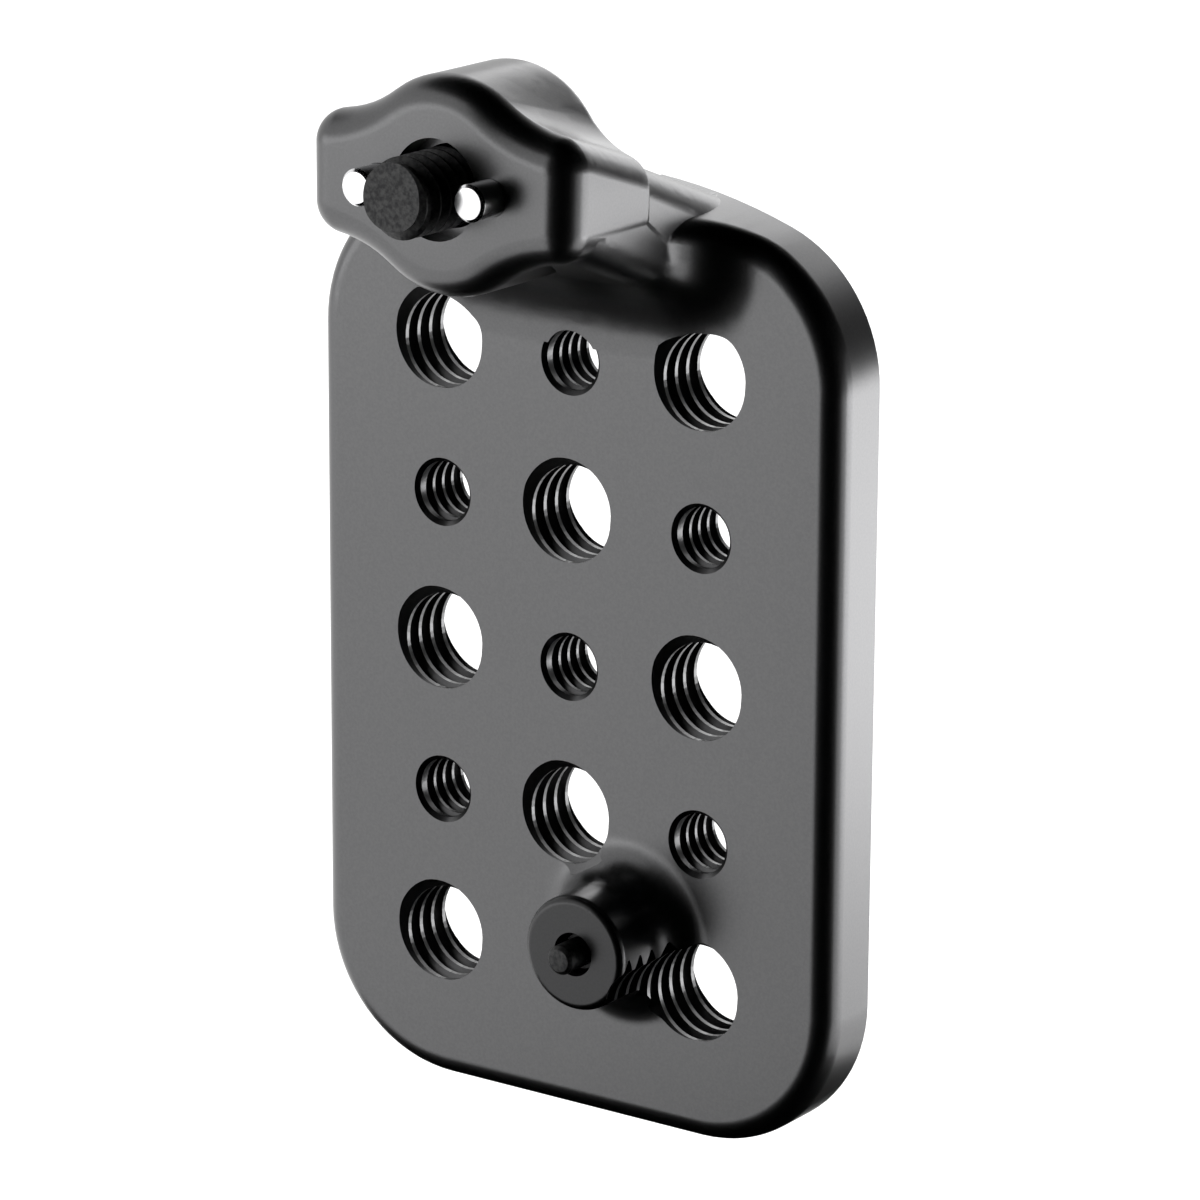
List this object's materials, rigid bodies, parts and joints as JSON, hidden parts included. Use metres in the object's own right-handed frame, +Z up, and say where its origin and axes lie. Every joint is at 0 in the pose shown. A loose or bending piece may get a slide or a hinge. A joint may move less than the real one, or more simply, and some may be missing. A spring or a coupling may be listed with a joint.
{
  "type": "camera accessory plate",
  "caption": "Black drilled and tapped plate with a raised arm at its top that carries a mounting screw and locating pins, and a small boss with a screw near its foot.",
  "frame": {"origin": "on the arm screw's axis, at the front seating face of the arm", "axes": "+Y runs back from the seating face through the plate, +Z up along the plate, +X to the right seen from the front"},
  "size_m": [0.0508, 0.0296, 0.0889],
  "materials": {
    "anodised_aluminium": "bead blasted and black anodised",
    "black_oxide_steel": "black oxide, slightly oily",
    "bright_steel": "ground bright steel"
  },
  "bodies": {
    "plate": {"plate_body": "anodised_aluminium", "locating_pin_left": "bright_steel", "locating_pin_right": "bright_steel"},
    "arm_screw": {"arm_screw": "black_oxide_steel"},
    "boss_screw": {"boss_screw": "black_oxide_steel"}
  },
  "joints": [
    {"name": "arm_screw_turn", "type": "hinge", "parent": "plate", "child": "arm_screw", "pos_m": [0, 0, 0], "axis": [0, -1, 0], "continuous": true},
    {"name": "boss_screw_turn", "type": "hinge", "parent": "plate", "child": "boss_screw", "pos_m": [0.0056, 0.0108, -0.06347], "axis": [0, -1, 0], "continuous": true}
  ]
}
